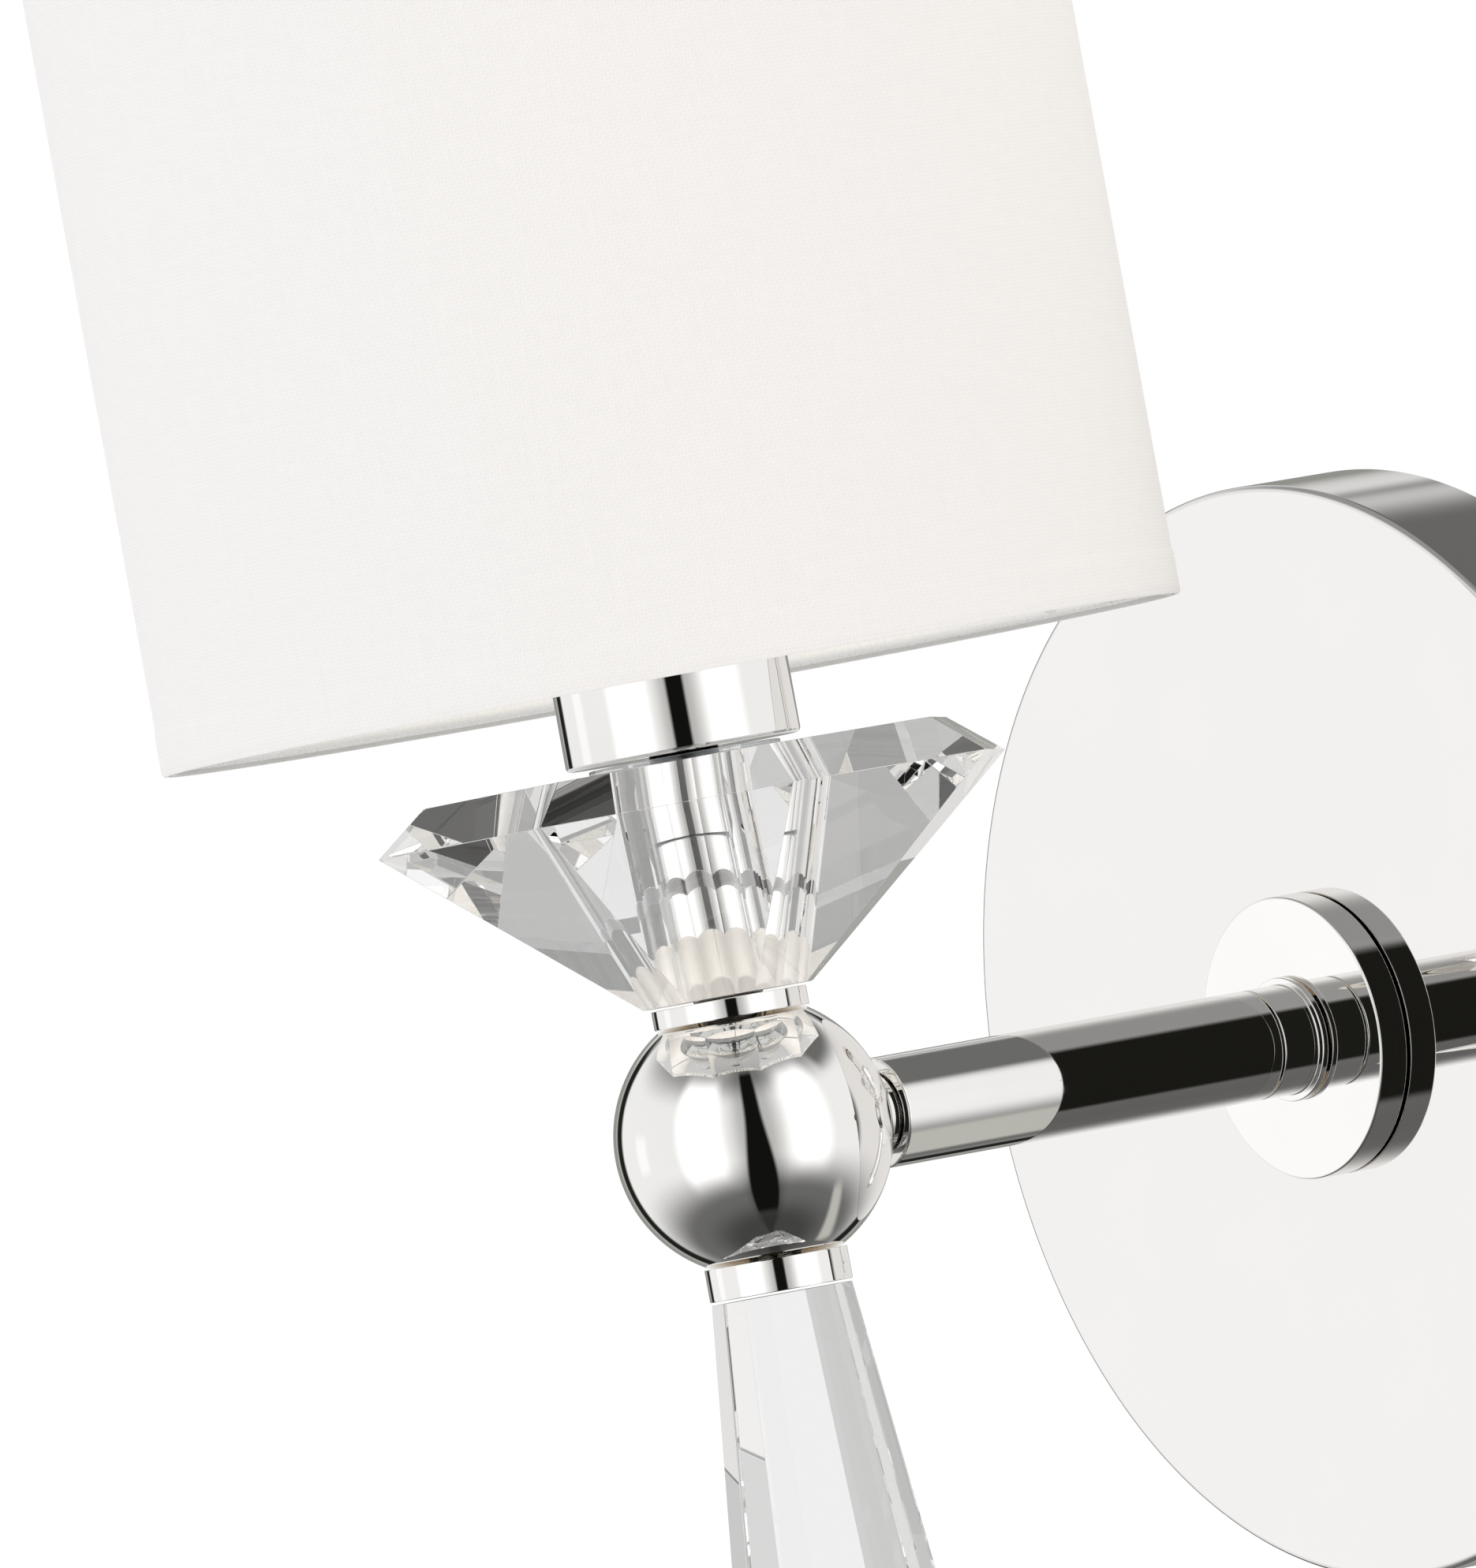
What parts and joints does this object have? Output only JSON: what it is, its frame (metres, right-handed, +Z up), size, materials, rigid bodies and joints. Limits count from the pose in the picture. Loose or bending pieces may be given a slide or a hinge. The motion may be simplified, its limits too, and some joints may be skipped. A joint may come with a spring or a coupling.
{
  "type": "wall sconce",
  "caption": "Wall sconce: round backplate, straight arm, ball stem with faceted crystals above and below, and a linen drum shade.",
  "frame": {"origin": "centre of the backplate on the wall plane", "axes": "+Z up, -Y out of the wall into the room along the arm, +X to the right of someone facing the wall"},
  "size_m": [0.1376, 0.1676, 0.2829],
  "materials": {
    "polished_nickel": "mirror polished nickel plate with a slightly warm tone",
    "zinc_steel": "zinc plated steel",
    "brass": "plain machined brass",
    "green_paint": "green earthing screw",
    "crystal": "clear faceted lead crystal",
    "clear_vinyl": "clear vinyl cushion washer",
    "phenolic": "white moulded lampholder",
    "white_enamel": "white enamelled wire",
    "styrene": "white styrene shade backing",
    "linen": "off-white linen laminated to its backing",
    "solder": "tin solder contact",
    "bulb_glass": "clear bulb glass",
    "filament_wire": "bent support wire and filament",
    "black_jacket": "black insulated lead",
    "white_jacket": "white insulated lead",
    "green_jacket": "green insulated lead",
    "orange_plastic": "orange twist-on wire connector"
  },
  "bodies": {
    "fixture": {"backplate": "polished_nickel", "mounting_bracket": "zinc_steel", "box_screw_left": "zinc_steel", "box_screw_right": "zinc_steel", "ground_screw": "green_paint", "flange_disc": "polished_nickel", "arm_collar": "polished_nickel", "arm_tube": "polished_nickel", "wall_nipple": "zinc_steel", "lock_washer": "zinc_steel", "wall_nut": "brass", "ball_nipple": "zinc_steel", "ball_neck": "polished_nickel", "ball": "polished_nickel", "upper_collar": "polished_nickel", "lower_collar": "polished_nickel", "crystal_bobeche": "crystal", "crystal_sleeve": "polished_nickel", "bobeche_washer": "clear_vinyl", "cup": "polished_nickel", "cup_washer": "zinc_steel", "stem": "zinc_steel", "stem_nut": "brass", "socket_cap": "phenolic", "socket_body": "phenolic", "screw_shell": "brass", "centre_contact": "brass", "hot_lead": "black_jacket", "neutral_lead": "white_jacket", "ground_lead": "green_jacket", "wire_nut_hot": "orange_plastic", "wire_nut_neutral": "orange_plastic", "wire_nut_ground": "orange_plastic"},
    "shade": {"shade_cover": "linen", "shade_liner": "styrene", "shade_top_ring": "white_enamel", "shade_fitter": "white_enamel"},
    "retaining_ring": {"shade_ring": "phenolic"},
    "bulb": {"bulb_contact": "solder", "bulb_cap": "brass", "bulb_glass": "bulb_glass", "bulb_mount": "bulb_glass", "bulb_filament": "filament_wire"},
    "drop": {"crystal_drop": "crystal", "drop_rod": "zinc_steel"},
    "left_screw": {"side_screw_left": "polished_nickel"},
    "right_screw": {"side_screw_right": "polished_nickel"}
  },
  "joints": [
    {"name": "shade_turn", "type": "hinge", "parent": "fixture", "child": "shade", "pos_m": [0, -0.097, 0.0517], "axis": [0, 0, 1], "continuous": true},
    {"name": "ring_unscrew", "type": "slide", "parent": "fixture", "child": "retaining_ring", "axis": [0, 0, 1], "range_m": [0, 0.012]},
    {"name": "bulb_unscrew", "type": "slide", "parent": "fixture", "child": "bulb", "axis": [0, 0, 1], "range_m": [0, 0.02]},
    {"name": "drop_turn", "type": "hinge", "parent": "fixture", "child": "drop", "pos_m": [0, -0.097, -0.0181], "axis": [0, 0, 1], "continuous": true},
    {"name": "left_screw_unscrew", "type": "slide", "parent": "fixture", "child": "left_screw", "axis": [-1, 0, 0], "range_m": [0, 0.0075]},
    {"name": "right_screw_unscrew", "type": "slide", "parent": "fixture", "child": "right_screw", "axis": [1, 0, 0], "range_m": [0, 0.0075]}
  ]
}
